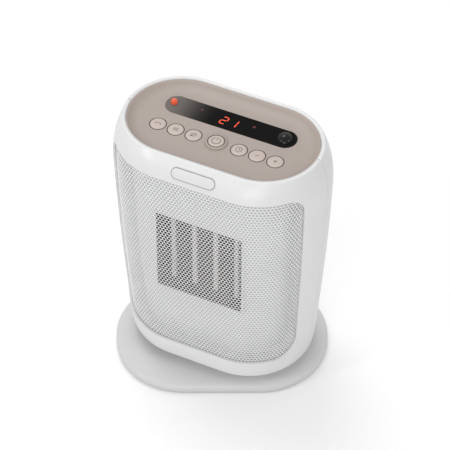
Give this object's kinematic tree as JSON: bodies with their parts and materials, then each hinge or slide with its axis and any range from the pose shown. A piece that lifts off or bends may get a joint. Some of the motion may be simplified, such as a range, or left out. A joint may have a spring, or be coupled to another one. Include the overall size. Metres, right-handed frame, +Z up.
{
  "type": "fan heater",
  "caption": "Ceramic fan heater: swinging oval head with wrap-round grille and dished control panel, on a wide oval foot with gear drive, fan, heater and keys.",
  "frame": {"origin": "centre of the foot on the floor plane, on the swivel axis", "axes": "+Z up along the swivel axis, -Y the foot's front, +X to the right of the foot seen from above; the head rests turned 25.6 degrees clockwise seen from above"},
  "size_m": [0.204, 0.1606, 0.275],
  "materials": {
    "casing": "white injection-moulded casing, satin gloss",
    "foot_shell": "white injection-moulded foot, satin gloss",
    "foot_plate": "light grey moulded base plate",
    "foot_rubber": "soft black rubber",
    "screw_steel": "zinc-plated steel",
    "bearing_plastic": "waxy natural acetal",
    "gear_plastic": "natural acetal",
    "dark_plastic": "dark moulded plastic",
    "gland_rubber": "light grey soft grommet",
    "grille_enamel": "white powder-coated perforated sheet",
    "duct_plastic": "pale grey heat-proof plastic",
    "heater_plastic": "dark heat-proof moulding",
    "heater_aluminium": "dull bare aluminium",
    "tab_brass": "tinned brass tabs",
    "fan_plastic": "dark grey moulded plastic",
    "motor_steel": "drawn steel can",
    "filter_mesh": "fine dark nylon mesh in a plastic frame",
    "deck_plastic": "light grey moulded floor",
    "board_laminate": "green lacquered laminate",
    "part_plastic": "dark component housings",
    "badge_metal": "satin plate, left blank",
    "panel_taupe": "taupe moulded panel, fine satin",
    "display_black": "gloss black window",
    "lamp_red": "translucent red lens",
    "receiver_black": "dark infrared lens",
    "button_beige": "pinkish beige keys, satin gloss",
    "switch_black": "small black switches"
  },
  "bodies": {
    "base": {"base_cover": "foot_shell", "base_plate": "foot_plate", "rubber_feet": "foot_rubber", "base_screws": "screw_steel", "bearing_ring": "bearing_plastic", "sector_gear": "gear_plastic", "retaining_nut": "gear_plastic", "tilt_switch": "dark_plastic", "terminal_block": "part_plastic", "cord_gland": "gland_rubber"},
    "head": {"front_shell": "casing", "rear_shell": "casing", "front_grille": "grille_enamel", "outlet_housing": "duct_plastic", "heater_frame": "heater_plastic", "heater_bars": "heater_aluminium", "heater_fins": "heater_aluminium", "heater_terminals": "tab_brass", "thermal_cutout": "dark_plastic", "fan_shroud": "fan_plastic", "fan_motor": "motor_steel", "duct_screws": "screw_steel", "intake_grille": "casing", "dust_filter": "filter_mesh", "head_deck": "deck_plastic", "swing_motor": "motor_steel", "power_board": "board_laminate", "power_parts": "part_plastic", "casing_screws": "screw_steel", "badge_plate": "badge_metal", "top_panel": "panel_taupe", "display_window": "display_black", "lamp_lens": "lamp_red", "receiver_lens": "receiver_black", "power_collar": "panel_taupe", "control_board": "board_laminate", "board_screws": "screw_steel", "tact_switches": "switch_black", "display_module": "part_plastic"},
    "fan": {"impeller": "fan_plastic", "fan_shaft": "motor_steel"},
    "pinion": {"swing_pinion": "gear_plastic"},
    "swing_button": {"swing_button": "button_beige"},
    "mode_button": {"mode_button": "button_beige"},
    "eco_button": {"eco_button": "button_beige"},
    "power_button": {"power_button": "button_beige"},
    "timer_button": {"timer_button": "button_beige"},
    "minus_button": {"minus_button": "button_beige"},
    "plus_button": {"plus_button": "button_beige"}
  },
  "joints": [
    {"name": "head_swivel", "type": "hinge", "parent": "base", "child": "head", "pos_m": [0, 0, 0.026], "axis": [0, 0, 1], "range_deg": [-6.4, 57.6]},
    {"name": "fan_spin", "type": "hinge", "parent": "head", "child": "fan", "pos_m": [0, 0, 0.151], "axis": [0.4321, 0.9018, 0], "continuous": true},
    {"name": "pinion_spin", "type": "hinge", "parent": "head", "child": "pinion", "pos_m": [0.0134, 0.02796, 0.032], "axis": [0, 0, 1], "range_deg": [-22.5, 198]},
    {"name": "swing_press", "type": "slide", "parent": "head", "child": "swing_button", "axis": [0, 0, -1], "range_m": [0, 0.0009], "stiffness_N_per_m": 250, "springref_m": -0.0004},
    {"name": "mode_press", "type": "slide", "parent": "head", "child": "mode_button", "axis": [0, 0, -1], "range_m": [0, 0.0009], "stiffness_N_per_m": 250, "springref_m": -0.0004},
    {"name": "eco_press", "type": "slide", "parent": "head", "child": "eco_button", "axis": [0, 0, -1], "range_m": [0, 0.0009], "stiffness_N_per_m": 250, "springref_m": -0.0004},
    {"name": "power_press", "type": "slide", "parent": "head", "child": "power_button", "axis": [0, 0, -1], "range_m": [0, 0.0009], "stiffness_N_per_m": 250, "springref_m": -0.0004},
    {"name": "timer_press", "type": "slide", "parent": "head", "child": "timer_button", "axis": [0, 0, -1], "range_m": [0, 0.0009], "stiffness_N_per_m": 250, "springref_m": -0.0004},
    {"name": "minus_press", "type": "slide", "parent": "head", "child": "minus_button", "axis": [0, 0, -1], "range_m": [0, 0.0009], "stiffness_N_per_m": 250, "springref_m": -0.0004},
    {"name": "plus_press", "type": "slide", "parent": "head", "child": "plus_button", "axis": [0, 0, -1], "range_m": [0, 0.0009], "stiffness_N_per_m": 250, "springref_m": -0.0004}
  ],
  "couplings": [
    {"joint": "pinion_spin", "follows": "head_swivel", "ratio": 3.4286}
  ]
}
